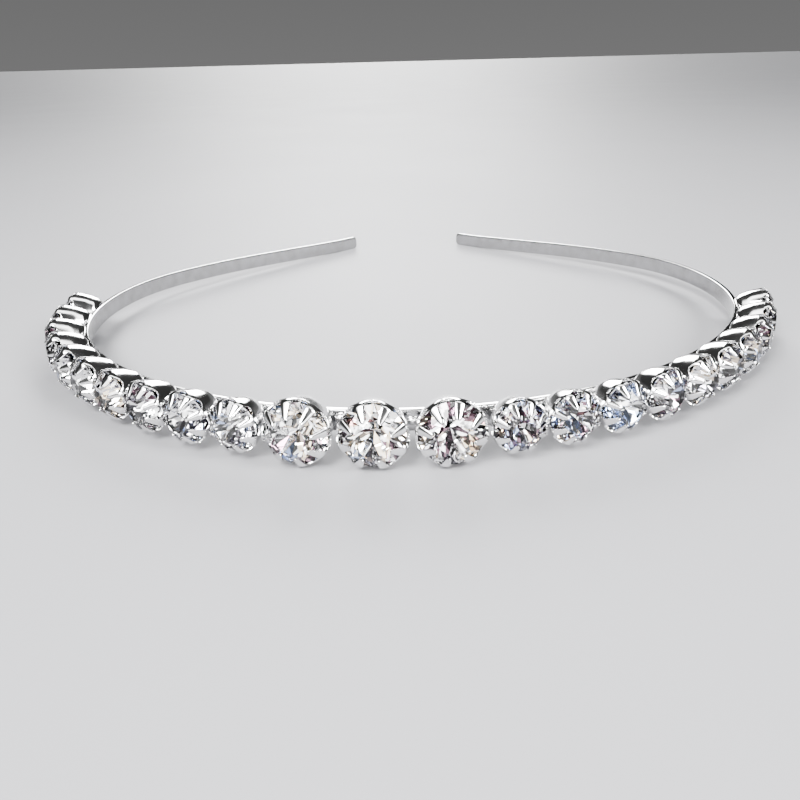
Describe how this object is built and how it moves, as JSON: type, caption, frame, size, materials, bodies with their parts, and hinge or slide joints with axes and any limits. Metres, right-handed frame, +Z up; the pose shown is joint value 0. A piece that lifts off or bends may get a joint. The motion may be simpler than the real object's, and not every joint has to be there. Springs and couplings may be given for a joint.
{
  "type": "rhinestone headband",
  "caption": "Narrow silver metal headband bent to a horseshoe with rounded ends, and a row of round clear stones in claw settings across its front.",
  "frame": {"origin": "middle of the box round the object, on the surface it stands on", "axes": "+Z up, the band on its edge; the front of the head at -Y, the two free ends at +Y, +X to the right in the picture"},
  "size_m": [0.148, 0.1358, 0.0105],
  "materials": {
    "silver": "polished silver plate",
    "crystal": "clear cut glass with a foiled back"
  },
  "bodies": {
    "root": {"band": "silver", "stone_middle": "crystal", "stone_left_1": "crystal", "stone_left_2": "crystal", "stone_left_3": "crystal", "stone_left_4": "crystal", "stone_left_5": "crystal", "stone_left_6": "crystal", "stone_left_7": "crystal", "stone_left_8": "crystal", "stone_left_9": "crystal", "stone_left_10": "crystal", "stone_left_11": "crystal", "stone_right_1": "crystal", "stone_right_2": "crystal", "stone_right_3": "crystal", "stone_right_4": "crystal", "stone_right_5": "crystal", "stone_right_6": "crystal", "stone_right_7": "crystal", "stone_right_8": "crystal", "stone_right_9": "crystal", "stone_right_10": "crystal", "stone_right_11": "crystal"}
  },
  "joints": []
}
